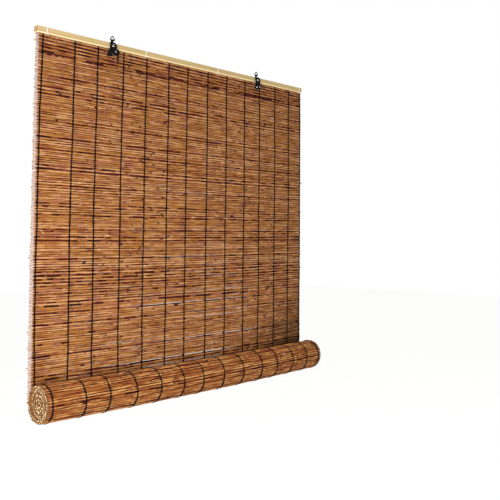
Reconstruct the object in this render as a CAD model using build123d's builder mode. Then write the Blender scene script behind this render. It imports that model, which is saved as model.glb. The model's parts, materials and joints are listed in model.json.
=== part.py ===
"""Reed roll-up blind: a woven reed mat clamped between two wooden battens, partly rolled up.

Millimetres, +Z up, -Y towards the room, +X to the right as seen from the room.
The origin is on the line through the two ring eyes that the blind hangs by, at the middle of its width.
"""
import math
import os

from build123d import *

# ---------------------------------------------------------------- driving dimensions
# the mat
blind_width = 1000.0  # along the reeds
visible_drop = 881.0  # underside of the battens to the axis of the roll
reed_diameter = 4.6  # a reed, and so the thickness of the mat
turn_gap = 0.4  # slack between one turn of the roll and the next
roll_radius = 46.5
roll_core_radius = 6.0  # no half turn is wound smaller than this

# warp threads: each is a pair, one strand in front of the reeds and one behind
thread_width = 2.4
thread_thickness = 1.0
thread_first_edge = 13.0  # left edge of the mat to the first thread
thread_last_edge = 6.0  # last thread to the right edge
thread_gaps = (91, 69, 81, 78, 80, 70, 81, 79, 80, 69, 74, 69, 60)  # uneven, as the loom leaves them
front_strand_lift = 12.0  # the front strands leave the mat this far above the roll's axis

# battens
batten_height = 15.0
front_batten_thickness = 8.0
rear_batten_thickness = 5.0
batten_edge_radius = 0.6

# nylon ties round the battens
tie_width = 1.6
tie_thickness = 0.8
tie_bend = 0.5  # outside corners
tie_threads = (1, 5, 9, 14)  # the thread that each tie is beside
tie_shifts = (12, -3, -40, -8)  # from that thread to the right

# hangers
lock_inset = 215.0  # left edge of the mat to the lock's screw
pulley_inset = 229.0  # right edge of the mat to the pulley's screw
screw_drop = 2.5  # the screws go in below the middle of the battens
pulley_tilt = 7.0  # degrees, the pulley hangs slightly askew on its screw
plate_thickness = 1.5
plate_gap = 5.0  # between the front and rear plates
dome_radius = 9.5
dome_u = 1.5  # the round top's centre, right of the screw
lock_strap_width = 9.7  # the rear plate is a strap that hangs from the ring
lock_strap_u = -1.0  # its middle, right of the screw
lock_strap_drop = 4.0  # it runs straight this far below the screw, then turns to the wheel
lock_ear_radius = 4.0  # its end about the wheel's rivet
pulley_strap_width = 6.6
pulley_ear_radius = 3.3
eye_width = 7.4
eye_rise = 6.0  # top of the battens to the ring's bar

# rings of bent wire
wire_diameter = 2.4
ring_base = 18.0  # sharp-cornered triangle on the wire's centre line
ring_rise = 12.5
ring_bend = 2.4  # bend radius on the centre line

# screws and spacer sleeves
screw_diameter = 3.0
screw_point_width = 1.35  # how far the tip narrows on each side
screw_head_diameter = 6.0
screw_head_height = 1.6
screw_head_round = 0.85  # share of the head's height
screw_bite = 6.5  # depth in the front batten
sleeve_diameter = 6.5

# wheels and their rivets
wheel_width = 4.3
wheel_flange = 0.8
groove_depth = 1.7
rivet_diameter = 2.6
rivet_head_diameter = 5.2
rivet_head_height = 1.1
rivet_head_round = 0.45  # share of the head's height
lock_wheel_radius = 6.5
lock_wheel_u = 7.5  # right of the screw
lock_wheel_drop = 9.2  # underside of the battens to the wheel's axle
lock_lobe_margin = 2.0  # plate beyond the wheel's rim
lock_lobe_shift_u = 3.5  # the lobe reaches further right and down than the wheel
lock_lobe_shift_v = -0.5
pulley_wheel_radius = 5.3
pulley_wheel_u = 6.0  # each side of the screw
pulley_wheel_drop = 17.3
pulley_lobe_margin = 2.6

# cord hook stamped below the lock's front plate, with lengths below the wheel's axle
hook_u = 16.0
hook_width = 4.4
hook_length = 16.0
tail_width = 2.0
tail_length = 31.0
tail_end_u = 13.2

# brake jaw of the lock, with lengths below the wheel's axle
jaw_eye_radius = 5.4
jaw_foot_left_u = -19.0
jaw_foot_right_u = -5.5
jaw_foot_drop = 14.0
jaw_flare_rise = 4.0  # the flare starts this far above the wheel's axle
jaw_flare_depth = 5.5  # how far the foot comes forward of the plates' gap
jaw_flare_clearance = 0.9  # round the front plate's edge
jaw_toe_thickness = 2.0

# clearances
running_clearance = 0.08  # radial, pins and eyes
side_clearance = 0.3  # between pieces that pass each other
seat_clearance = 0.05  # radial, screws and sleeves in their holes

# ---------------------------------------------------------------- derived places
wire_radius = wire_diameter / 2
base_angle = math.atan2(ring_rise, ring_base / 2)
apex_half_angle = math.pi / 2 - base_angle
ring_top = ring_rise - ring_bend / math.sin(apex_half_angle) + ring_bend  # centre line, above the bar
bar_z = wire_radius - ring_top  # the ring's inner top is at z = 0
screw_below_top = batten_height / 2 + screw_drop
screw_above_bottom = batten_height - screw_below_top
eye_height = screw_below_top + eye_rise  # screw to the ring's bar
screw_z = bar_z - eye_height
lock_x = lock_inset - blind_width / 2
pulley_x = blind_width / 2 - pulley_inset
lock_wheel_v = -screw_above_bottom - lock_wheel_drop  # above the screw
pulley_wheel_v = -screw_above_bottom - pulley_wheel_drop

eye_bore = wire_radius + running_clearance
eye_radius = eye_bore + plate_thickness
batten_face_y = eye_radius
batten_top_z = screw_z + screw_below_top
batten_bottom_z = batten_top_z - batten_height

mat_front_y = batten_face_y + front_batten_thickness
mat_back_y = mat_front_y + reed_diameter
rear_batten_back_y = mat_back_y + rear_batten_thickness

roll_y = mat_back_y - roll_radius
roll_z = batten_bottom_z - visible_drop
turn_pitch = reed_diameter + turn_gap

rear_plate_front_y = batten_face_y - plate_thickness
front_plate_back_y = rear_plate_front_y - plate_gap
front_plate_face_y = front_plate_back_y - plate_thickness

os.makedirs("parts", exist_ok=True)


def save(piece, label):
    """Label a finished piece and write it to its own file."""
    piece.part.label = label
    export_step(piece.part, f"parts/{label}.step")


def room_plane(x, y, z, tilt=0.0):
    """A plane that faces the room: its x runs right and its y up, turned anticlockwise by tilt degrees."""
    turn = math.radians(tilt)
    return Plane(origin=(x, y, z), x_dir=(math.cos(turn), 0, math.sin(turn)), z_dir=(0, -1, 0))


# ---------------------------------------------------------------- battens
screw_places = [(lock_x, screw_z), (pulley_x, screw_z)]

with BuildPart() as front_batten:
    with BuildSketch(room_plane(0, mat_front_y, batten_top_z - batten_height / 2)):
        Rectangle(blind_width, batten_height)
    extrude(amount=front_batten_thickness)
    fillet(front_batten.edges().filter_by(Axis.X), batten_edge_radius)
    with BuildSketch(room_plane(0, batten_face_y, 0)):
        with Locations(*screw_places):
            Circle(screw_diameter / 2 + seat_clearance)
    extrude(amount=-(screw_bite + side_clearance), mode=Mode.SUBTRACT)
save(front_batten, "front_batten")

with BuildPart() as rear_batten:
    with BuildSketch(room_plane(0, rear_batten_back_y, batten_top_z - batten_height / 2)):
        Rectangle(blind_width, batten_height)
    extrude(amount=rear_batten_thickness)
    fillet(rear_batten.edges().filter_by(Axis.X), batten_edge_radius)
save(rear_batten, "rear_batten")


# ---------------------------------------------------------------- the mat that hangs
gap_scale = (blind_width - thread_first_edge - thread_last_edge) / sum(thread_gaps)
thread_places = [thread_first_edge - blind_width / 2]
for gap in thread_gaps:
    thread_places.append(thread_places[-1] + gap * gap_scale)

tie_places = [thread_places[thread - 1] + shift for thread, shift in zip(tie_threads, tie_shifts)]
mat_end_z = roll_z + side_clearance

with BuildPart() as reed_mat:
    with BuildSketch(room_plane(0, mat_back_y, (batten_top_z + mat_end_z) / 2)):
        Rectangle(blind_width, batten_top_z - mat_end_z)
    extrude(amount=reed_diameter)
    # each tie passes between two reeds just below the battens
    with BuildSketch(room_plane(0, mat_back_y, batten_bottom_z - tie_thickness / 2)):
        with Locations(*[(x, 0) for x in tie_places]):
            Rectangle(tie_width + 2 * seat_clearance, tie_thickness + 2 * seat_clearance)
    extrude(amount=reed_diameter, mode=Mode.SUBTRACT)
save(reed_mat, "reed_mat")

# ---------------------------------------------------------------- the roll
half_turns = int((roll_radius - roll_core_radius - turn_pitch / 4) / (turn_pitch / 2)) + 1


def spiral_crossing(radius, half_turn):
    """Where the spiral that starts at radius crosses the roll's level diameter after so many half turns."""
    side = 1 if half_turn % 2 == 0 else -1
    return side * (radius - half_turn * turn_pitch / 2)


with BuildPart() as reed_roll:
    # x of the sketch runs towards the back and y up, so the mat comes down at the right and turns under
    with BuildSketch(Plane(origin=(-blind_width / 2, roll_y, roll_z), x_dir=(0, 1, 0), z_dir=(1, 0, 0))):
        with BuildLine():
            for skin in (roll_radius, roll_radius - reed_diameter):
                for step in range(half_turns):
                    start = spiral_crossing(skin, step)
                    end = spiral_crossing(skin, step + 1)
                    middle = (start + end) / 2
                    sag = abs(start - end) / 2 * (-1 if step % 2 == 0 else 1)
                    ThreePointArc((start, 0), (middle, sag), (end, 0))
            for end in (0, half_turns):
                outer_end = spiral_crossing(roll_radius, end)
                inner_end = spiral_crossing(roll_radius - reed_diameter, end)
                Line((outer_end, 0), (inner_end, 0))
        make_face()
    extrude(amount=blind_width)
save(reed_roll, "reed_roll")

# ---------------------------------------------------------------- warp threads
front_strand_end_z = roll_z + front_strand_lift
for number, x in enumerate(thread_places, start=1):
    with BuildPart() as warp_thread:
        with BuildSketch(room_plane(x, mat_front_y, (batten_bottom_z + front_strand_end_z) / 2)):
            Rectangle(thread_width, batten_bottom_z - front_strand_end_z)
        extrude(amount=thread_thickness)
        with BuildSketch(room_plane(x, mat_back_y, (batten_bottom_z + mat_end_z) / 2)):
            Rectangle(thread_width, batten_bottom_z - mat_end_z)
        extrude(amount=-thread_thickness)
    save(warp_thread, f"warp_thread_{number:02d}")

# ---------------------------------------------------------------- nylon ties
tie_middle_y = (batten_face_y + rear_batten_back_y) / 2
tie_inside_depth = rear_batten_back_y - batten_face_y
for number, x in enumerate(tie_places, start=1):
    with BuildPart() as tie:
        tie_plane = Plane(
            origin=(x - tie_width / 2, tie_middle_y, batten_top_z - batten_height / 2),
            x_dir=(0, 1, 0),
            z_dir=(1, 0, 0),
        )
        with BuildSketch(tie_plane):
            Rectangle(tie_inside_depth + 2 * tie_thickness, batten_height + 2 * tie_thickness)
            Rectangle(tie_inside_depth, batten_height, mode=Mode.SUBTRACT)
        extrude(amount=tie_width)
        far_edges = tie.edges().filter_by(Axis.X).group_by(lambda edge: -abs(edge.center().Z - screw_z))
        fillet(far_edges[0], tie_bend)
    save(tie, f"batten_tie_{number}")


# ---------------------------------------------------------------- hangers: pieces that both have
def add_ring(label, x, tilt):
    """A triangular ring of bent wire whose bar lies in the eye of the rear plate."""
    with BuildPart() as ring:
        with BuildLine(room_plane(x, 0, screw_z, tilt)) as path:
            FilletPolyline(
                (ring_base / 2, eye_height),
                (0, eye_height + ring_rise),
                (-ring_base / 2, eye_height),
                radius=ring_bend,
                close=True,
            )
        wire_start = Plane(origin=path.line @ 0, z_dir=path.line % 0)
        with BuildSketch(wire_start):
            Circle(wire_radius)
        sweep(path=path.line)
    save(ring, label)


def strap_outline(width, middle, drop):
    """The strap's outline: straight from drop below the screw, then in to the eye's width."""
    shoulder = eye_height - eye_radius - side_clearance
    Polygon(
        (middle + width / 2, -drop),
        (middle + width / 2, dome_radius),
        (eye_width / 2, shoulder),
        (eye_width / 2, eye_height),
        (-eye_width / 2, eye_height),
        (-eye_width / 2, shoulder),
        (middle - width / 2, dome_radius),
        (middle - width / 2, -drop),
        align=None,
    )


def add_rear_plate(label, x, tilt, outline, holes):
    """The strap against the batten, curled at its top into an eye for the ring's bar."""
    turn = math.radians(tilt)
    eye_end = Plane(
        origin=(x - eye_height * math.sin(turn), 0, screw_z + eye_height * math.cos(turn)),
        x_dir=(0, 1, 0),
        z_dir=(math.cos(turn), 0, math.sin(turn)),
    ).offset(-eye_width / 2)
    with BuildPart() as rear_plate:
        with BuildSketch(room_plane(x, batten_face_y, screw_z, tilt)):
            outline()
            holes()
        extrude(amount=plate_thickness)
        with BuildSketch(eye_end):
            Circle(eye_radius)
        extrude(amount=eye_width)
        with BuildSketch(eye_end):
            Circle(eye_bore)
        extrude(amount=eye_width, mode=Mode.SUBTRACT)
    save(rear_plate, label)


def add_front_plate(label, x, tilt, outline, holes):
    """The plate on the room side of the wheels."""
    with BuildPart() as front_plate:
        with BuildSketch(room_plane(x, front_plate_back_y, screw_z, tilt)):
            outline()
            holes()
        extrude(amount=plate_thickness)
    save(front_plate, label)


def add_sleeve(label, x):
    """The spacer that holds the two plates apart round the screw."""
    with BuildPart() as sleeve:
        with BuildSketch(room_plane(x, rear_plate_front_y, screw_z)):
            Circle(sleeve_diameter / 2)
            Circle(screw_diameter / 2 + seat_clearance, mode=Mode.SUBTRACT)
        extrude(amount=plate_gap)
    save(sleeve, label)


def add_screw(label, x):
    """A round-headed wood screw through both plates and the sleeve into the front batten."""
    with BuildPart() as screw:
        with BuildSketch(room_plane(x, batten_face_y + screw_bite, screw_z)):
            Circle(screw_diameter / 2)
        extrude(amount=screw_bite + batten_face_y - front_plate_face_y)
        point = screw.edges().sort_by(Axis.Y)[-1]
        end_face = screw.faces().sort_by(Axis.Y)[-1]
        chamfer(point, length=screw_point_width, length2=screw_diameter, reference=end_face)
        with BuildSketch(room_plane(x, front_plate_face_y, screw_z)):
            Circle(screw_head_diameter / 2)
        extrude(amount=screw_head_height)
        fillet(screw.edges().sort_by(Axis.Y)[0], screw_head_height * screw_head_round)
    save(screw, label)


def add_rivet(label, x, z):
    """An axle rivet with a flat round head on each plate."""
    with BuildPart() as rivet:
        with BuildSketch(room_plane(x, batten_face_y, z)):
            Circle(rivet_diameter / 2)
        extrude(amount=batten_face_y - front_plate_face_y)
        with BuildSketch(room_plane(x, front_plate_face_y, z)):
            Circle(rivet_head_diameter / 2)
        extrude(amount=rivet_head_height)
        with BuildSketch(room_plane(x, batten_face_y, z)):
            Circle(rivet_head_diameter / 2)
        extrude(amount=-rivet_head_height)
        rims = rivet.faces().filter_by(Axis.Y).sort_by(Axis.Y)
        fillet([rims[0].edges()[0], rims[-1].edges()[0]], rivet_head_height * rivet_head_round)
    save(rivet, label)


def add_wheel(label, x, z, radius):
    """A grooved wheel that turns on its rivet."""
    middle_y = (rear_plate_front_y + front_plate_back_y) / 2
    bore = rivet_diameter / 2 + running_clearance
    rim = wheel_width / 2
    with BuildPart() as wheel:
        with BuildSketch(Plane(origin=(x, middle_y, z), x_dir=(1, 0, 0), z_dir=(0, 0, 1))):
            with BuildLine():
                Polyline((radius, rim - wheel_flange), (radius, rim), (bore, rim), (bore, -rim))
                Polyline((bore, -rim), (radius, -rim), (radius, -rim + wheel_flange))
                ThreePointArc(
                    (radius, -rim + wheel_flange), (radius - groove_depth, 0), (radius, rim - wheel_flange)
                )
            make_face()
        revolve(axis=Axis((x, middle_y, z), (0, 1, 0)))
    save(wheel, label)


def at_hanger(x, tilt, u, v):
    """The x and z of a place given as u to the right of a hanger's screw and v above it."""
    turn = math.radians(tilt)
    return x + u * math.cos(turn) - v * math.sin(turn), screw_z + u * math.sin(turn) + v * math.cos(turn)


# ---------------------------------------------------------------- left hanger: the cord lock
lock_lobe_radius = lock_wheel_radius + lock_lobe_margin
lock_wheel_x, lock_wheel_z = at_hanger(lock_x, 0, lock_wheel_u, lock_wheel_v)


def lock_outline():
    """The front plate's outline: a round top, straight on its right down to a lobe about the wheel."""
    lobe_left = lock_wheel_u - lock_lobe_radius
    straight_right = dome_u + dome_radius
    with Locations((dome_u, 0)):
        Circle(dome_radius)
    with Locations(((lobe_left + straight_right) / 2, lock_wheel_v)):
        Circle((straight_right - lobe_left) / 2)
    make_hull()
    with Locations(
        (lock_wheel_u, lock_wheel_v),
        (lock_wheel_u + lock_lobe_shift_u, lock_wheel_v + lock_lobe_shift_v),
    ):
        Circle(lock_lobe_radius)


def lock_rear_outline():
    """The strap's outline, with an ear that reaches down to the wheel's rivet."""
    with Locations((lock_strap_u, -lock_strap_drop)):
        Circle(lock_strap_width / 2)
    with Locations((lock_wheel_u, lock_wheel_v)):
        Circle(lock_ear_radius)
    make_hull()
    strap_outline(lock_strap_width, lock_strap_u, lock_strap_drop)


def lock_holes():
    """The holes for the screw and for the wheel's rivet."""
    Circle(screw_diameter / 2 + seat_clearance, mode=Mode.SUBTRACT)
    with Locations((lock_wheel_u, lock_wheel_v)):
        Circle(rivet_diameter / 2 + seat_clearance, mode=Mode.SUBTRACT)


def lock_front_outline():
    """The lock's outline with a cord hook stamped below it, drawn out to a thin tail."""
    lock_outline()
    hook_end_v = lock_wheel_v - hook_length
    tail_end_v = lock_wheel_v - tail_length
    Polygon(
        (hook_u - hook_width / 2, lock_wheel_v),
        (hook_u - hook_width / 2, hook_end_v),
        (tail_end_u - tail_width / 2, tail_end_v),
        (tail_end_u + tail_width / 2, tail_end_v),
        (hook_u + hook_width / 2, hook_end_v),
        (hook_u + hook_width / 2, lock_wheel_v),
        align=None,
    )


add_rear_plate("lock_rear_plate", lock_x, 0, lock_rear_outline, lock_holes)
add_front_plate("lock_front_plate", lock_x, 0, lock_front_outline, lock_holes)
add_ring("lock_ring", lock_x, 0)
add_sleeve("lock_sleeve", lock_x)
add_screw("lock_screw", lock_x)
add_wheel("lock_wheel", lock_wheel_x, lock_wheel_z, lock_wheel_radius)
add_rivet("lock_rivet", lock_wheel_x, lock_wheel_z)

# the brake jaw hangs on the sleeve beside the wheel; its foot flares forward for the fingers
jaw_back_y = rear_plate_front_y - side_clearance
jaw_front_y = front_plate_back_y + side_clearance
jaw_foot_v = lock_wheel_v - jaw_foot_drop
jaw_flare_start_v = lock_wheel_v + jaw_flare_rise
with BuildPart() as lock_jaw:
    with BuildSketch(room_plane(lock_x, jaw_back_y, screw_z)):
        Circle(jaw_eye_radius)
        with Locations(
            (jaw_foot_left_u + jaw_toe_thickness, jaw_foot_v + jaw_toe_thickness / 2),
            (jaw_foot_right_u - jaw_toe_thickness / 2, jaw_foot_v + jaw_toe_thickness / 2),
        ):
            Circle(jaw_toe_thickness / 2)
        make_hull()
        Circle(sleeve_diameter / 2 + running_clearance, mode=Mode.SUBTRACT)
        with Locations((lock_wheel_u, lock_wheel_v)):
            Circle(lock_wheel_radius + side_clearance, mode=Mode.SUBTRACT)
    extrude(amount=jaw_back_y - jaw_front_y + jaw_flare_depth)
    # seen from the side: a flat arm in the gap, then a wedge that comes forward towards the foot
    with BuildSketch(Plane(origin=(lock_x, 0, screw_z), x_dir=(0, 1, 0), z_dir=(1, 0, 0))):
        with BuildLine():
            Polyline(
                (jaw_back_y, jaw_eye_radius),
                (jaw_back_y, jaw_foot_v),
                (jaw_front_y - jaw_flare_depth, jaw_foot_v),
                (jaw_front_y - jaw_flare_depth, jaw_foot_v + jaw_toe_thickness),
                (jaw_front_y, jaw_flare_start_v),
                (jaw_front_y, jaw_eye_radius),
                close=True,
            )
        make_face()
    extrude(amount=2 * dome_radius + abs(jaw_foot_left_u), both=True, mode=Mode.INTERSECT)
    # the wedge stays clear of the front plate
    with BuildSketch(room_plane(lock_x, jaw_front_y, screw_z)):
        lock_outline()
        offset(amount=jaw_flare_clearance)
    extrude(amount=jaw_flare_depth + plate_thickness, mode=Mode.SUBTRACT)
save(lock_jaw, "lock_jaw")

# ---------------------------------------------------------------- right hanger: the double pulley
pulley_lobe_radius = pulley_wheel_radius + pulley_lobe_margin
pulley_wheel_places = [(-pulley_wheel_u, pulley_wheel_v), (pulley_wheel_u, pulley_wheel_v)]


def pulley_outline():
    """The front plate's outline: a round top, straight sides, and a wide lobe about both wheels."""
    with Locations(*pulley_wheel_places):
        Circle(pulley_lobe_radius)
    make_hull()
    with Locations((dome_u, 0)):
        Circle(dome_radius)
    with Locations((dome_u, pulley_wheel_v / 2)):
        Rectangle(2 * dome_radius, abs(pulley_wheel_v))


def pulley_rear_outline():
    """The strap's outline, with ears about the wheels' rivets."""
    with Locations(*pulley_wheel_places):
        Circle(pulley_ear_radius)
    make_hull()
    strap_outline(pulley_strap_width, 0, abs(pulley_wheel_v))


def pulley_holes():
    """The holes for the screw and for the wheels' rivets."""
    Circle(screw_diameter / 2 + seat_clearance, mode=Mode.SUBTRACT)
    with Locations(*pulley_wheel_places):
        Circle(rivet_diameter / 2 + seat_clearance, mode=Mode.SUBTRACT)


add_rear_plate("pulley_rear_plate", pulley_x, pulley_tilt, pulley_rear_outline, pulley_holes)
add_front_plate("pulley_front_plate", pulley_x, pulley_tilt, pulley_outline, pulley_holes)
add_ring("pulley_ring", pulley_x, pulley_tilt)
add_sleeve("pulley_sleeve", pulley_x)
add_screw("pulley_screw", pulley_x)
for side, (u, v) in zip(("left", "right"), pulley_wheel_places):
    wheel_x, wheel_z = at_hanger(pulley_x, pulley_tilt, u, v)
    add_wheel(f"pulley_wheel_{side}", wheel_x, wheel_z, pulley_wheel_radius)
    add_rivet(f"pulley_rivet_{side}", wheel_x, wheel_z)
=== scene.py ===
"""Looks of the reed roll-up blind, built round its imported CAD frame.

Metres, +Z up, -Y towards the room, +X to the right as seen from the room. The reeds run along X. Every new
piece is a bundle of rods: a path of ring centres carried along a line, with a circle of points at each ring,
all worked out as whole numpy arrays.
"""

import json
import logging
import math
from dataclasses import dataclass, field
from enum import Enum

import bpy
import numpy as np
from mathutils import Matrix, Vector


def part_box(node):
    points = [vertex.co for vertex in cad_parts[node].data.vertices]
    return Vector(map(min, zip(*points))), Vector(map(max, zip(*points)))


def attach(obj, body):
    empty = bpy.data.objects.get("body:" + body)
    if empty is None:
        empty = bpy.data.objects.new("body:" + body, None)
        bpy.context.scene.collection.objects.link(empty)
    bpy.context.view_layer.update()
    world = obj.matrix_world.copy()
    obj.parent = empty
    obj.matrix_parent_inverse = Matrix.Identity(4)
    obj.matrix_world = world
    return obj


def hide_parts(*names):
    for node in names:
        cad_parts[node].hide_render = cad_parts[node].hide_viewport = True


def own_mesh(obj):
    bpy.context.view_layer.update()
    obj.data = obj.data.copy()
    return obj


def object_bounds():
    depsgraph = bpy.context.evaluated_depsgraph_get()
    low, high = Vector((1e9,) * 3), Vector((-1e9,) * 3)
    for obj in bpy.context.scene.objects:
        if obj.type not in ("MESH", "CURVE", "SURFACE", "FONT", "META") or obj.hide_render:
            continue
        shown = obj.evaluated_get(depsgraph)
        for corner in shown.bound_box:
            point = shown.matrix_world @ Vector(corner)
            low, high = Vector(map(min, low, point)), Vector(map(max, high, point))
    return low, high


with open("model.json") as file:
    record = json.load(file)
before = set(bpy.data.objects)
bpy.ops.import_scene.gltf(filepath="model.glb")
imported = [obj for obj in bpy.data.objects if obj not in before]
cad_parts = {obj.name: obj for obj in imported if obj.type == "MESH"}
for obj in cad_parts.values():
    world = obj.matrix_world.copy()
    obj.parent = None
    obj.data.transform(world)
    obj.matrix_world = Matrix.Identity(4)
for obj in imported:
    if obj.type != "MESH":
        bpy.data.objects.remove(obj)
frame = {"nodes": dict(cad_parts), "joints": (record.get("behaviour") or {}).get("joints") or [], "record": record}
CAD_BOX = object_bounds()

MM = 0.001
METRE_MM = 1000.0
SEED = 41
LIFT_JOINT = "roll_lift"
HEADRAIL = "headrail"
ROLL = "roll"
ACROSS = np.array([0.0, 1.0, 0.0])
ALONG = np.array([1.0, 0.0, 0.0])

Tree = bpy.types.NodeTree
Socket = bpy.types.NodeSocket
Levels = tuple[float, float]
Triple = tuple[float, float, float]
Array = np.ndarray
Random = np.random.Generator

log = logging.getLogger("reed_blind")


# ---------- colours and nodes
def linear(sheet_colour: str) -> tuple[float, float, float, float]:
    """Turn an sRGB hex colour into linear light.

    Args:
        sheet_colour: six hex digits, with or without a leading #.

    Returns:
        Red, green, blue and an alpha of 1.
    """
    digits = sheet_colour.lstrip("#")
    channels = [int(digits[start : start + 2], 16) / 255 for start in (0, 2, 4)]
    light = [c / 12.92 if c <= 0.04045 else ((c + 0.055) / 1.055) ** 2.4 for c in channels]
    return (*light, 1.0)


def per_metre(size_mm: float) -> float:
    """Return the noise scale whose features are about this many millimetres across."""
    return METRE_MM / size_mm


def add_node(
    tree: Tree, kind: str, inputs: dict[str | int, object] | None = None, **settings: object
) -> bpy.types.Node:
    """Add one node, set its properties, and set or link its inputs.

    Args:
        tree: the node tree that it goes into.
        kind: the node's type, such as ShaderNodeMath.
        inputs: a value or another node's output for each input, by name or number.
        settings: the node's own properties.

    Returns:
        The new node.
    """
    node = tree.nodes.new(kind)
    for name, value in settings.items():
        setattr(node, name, value)
    for key, value in (inputs or {}).items():
        if isinstance(value, Socket):
            tree.links.new(value, node.inputs[key])
        else:
            node.inputs[key].default_value = value
    return node


class Mixer(Enum):
    """Where a Mix node keeps its colour sockets."""

    FACTOR = 0
    FIRST = 6
    SECOND = 7
    RESULT = 2


def blend(tree: Tree, share: Socket, first: Socket | str, second: Socket | str) -> Socket:
    """Mix two colours, each a hex string or a socket.

    Args:
        tree: the material's node tree.
        share: 0 gives first and 1 gives second.
        first: the colour at 0.
        second: the colour at 1.

    Returns:
        The mixed colour's socket.
    """
    colours = [linear(c) if isinstance(c, str) else c for c in (first, second)]
    sockets = {Mixer.FACTOR.value: share, Mixer.FIRST.value: colours[0], Mixer.SECOND.value: colours[1]}
    return add_node(tree, "ShaderNodeMix", sockets, data_type="RGBA").outputs[Mixer.RESULT.value]


def maths(tree: Tree, operation: str, *values: Socket | float) -> Socket:
    """Work out one number from up to three others."""
    return add_node(tree, "ShaderNodeMath", dict(enumerate(values)), operation=operation).outputs[0]


def remap(
    tree: Tree, value: Socket, given: Levels, wanted: Levels = (0.0, 1.0), way: str = "LINEAR"
) -> Socket:
    """Carry one range over to another, holding what lies outside at its ends.

    Args:
        tree: the material's node tree.
        value: the value to carry over.
        given: the two ends of its range.
        wanted: what they become.
        way: how it goes from one to the other.

    Returns:
        The new value's socket.
    """
    sockets = {"Value": value, "From Min": given[0], "From Max": given[1]}
    sockets |= {"To Min": wanted[0], "To Max": wanted[1]}
    return add_node(tree, "ShaderNodeMapRange", sockets, interpolation_type=way).outputs["Result"]


def carried(tree: Tree, name: str, output: str = "Fac") -> Socket:
    """Read a value that the mesh's points carry."""
    return add_node(tree, "ShaderNodeAttribute", attribute_name=name).outputs[output]


def object_place(tree: Tree) -> Socket:
    """Return the place in the object's own coordinates."""
    return add_node(tree, "ShaderNodeTexCoord").outputs["Object"]


def split(tree: Tree, place: Socket) -> bpy.types.bpy_prop_collection:
    """Return the three coordinates of a place, as outputs X, Y and Z."""
    return add_node(tree, "ShaderNodeSeparateXYZ", {0: place}).outputs


def stretch(tree: Tree, place: Socket, long_mm: float, wide_mm: float) -> Socket:
    """Scale a place so that noise of scale 1 has features of this length along X and this width across."""
    size = (per_metre(long_mm), per_metre(wide_mm), per_metre(wide_mm))
    return add_node(tree, "ShaderNodeVectorMath", {0: place, 1: size}, operation="MULTIPLY").outputs[0]


def speckle(tree: Tree, place: Socket, size_mm: float, detail: float, distortion: float = 0.0) -> Socket:
    """Return noise whose features are about this many millimetres across."""
    sockets = {"Vector": place, "Scale": per_metre(size_mm), "Detail": detail, "Distortion": distortion}
    return add_node(tree, "ShaderNodeTexNoise", sockets).outputs["Fac"]


def relief(tree: Tree, height: Socket, depth: float, strength: float = 1.0) -> Socket:
    """Return the normal of a surface raised by a pattern, at most by depth."""
    sockets = {"Height": height, "Distance": depth, "Strength": strength}
    return add_node(tree, "ShaderNodeBump", sockets).outputs["Normal"]


def surface(tree: Tree, colour: Socket, roughness: Socket | float, **others: Socket | float) -> Socket:
    """Add a Principled shader.

    Args:
        tree: the material's node tree.
        colour: its base colour.
        roughness: from 0, a mirror, to 1, chalk.
        others: its other inputs by name, with a low line for each space.

    Returns:
        The shader's socket.
    """
    inputs = {"Base Color": colour, "Roughness": roughness}
    inputs |= {name.replace("_", " "): value for name, value in others.items()}
    return add_node(tree, "ShaderNodeBsdfPrincipled", inputs).outputs["BSDF"]


# ---------- finishes
@dataclass(frozen=True)
class Finish:
    """A material that starts from what the real one is."""

    name: str

    def material(self) -> bpy.types.Material:
        """Build the node material once.

        Returns:
            The material, the same one at each call.
        """
        made = bpy.data.materials.get(self.name)
        if made is None:
            made = bpy.data.materials.new(self.name)
            made.use_nodes = True
            made.node_tree.nodes.clear()
            shader = self.shade(made.node_tree)
            add_node(made.node_tree, "ShaderNodeOutputMaterial", {"Surface": shader})
        return made

    def shade(self, tree: Tree) -> Socket:
        """Add the nodes of this finish and return its shader.

        Args:
            tree: the material's node tree.

        Returns:
            The shader's socket.
        """
        raise NotImplementedError


@dataclass(frozen=True)
class Fade:
    """A colour that comes in smoothly over another: not at all at low, and by most at high."""

    low: float
    high: float
    most: float = 1.0


@dataclass(frozen=True)
class Runs(Fade):
    """A fade that follows noise drawn out along the reed."""

    long_mm: float = 38.0
    wide_mm: float = 30.0
    seed: float = 0.0  # keeps one kind of run from falling where another does
    detail: float = 2.0


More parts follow.
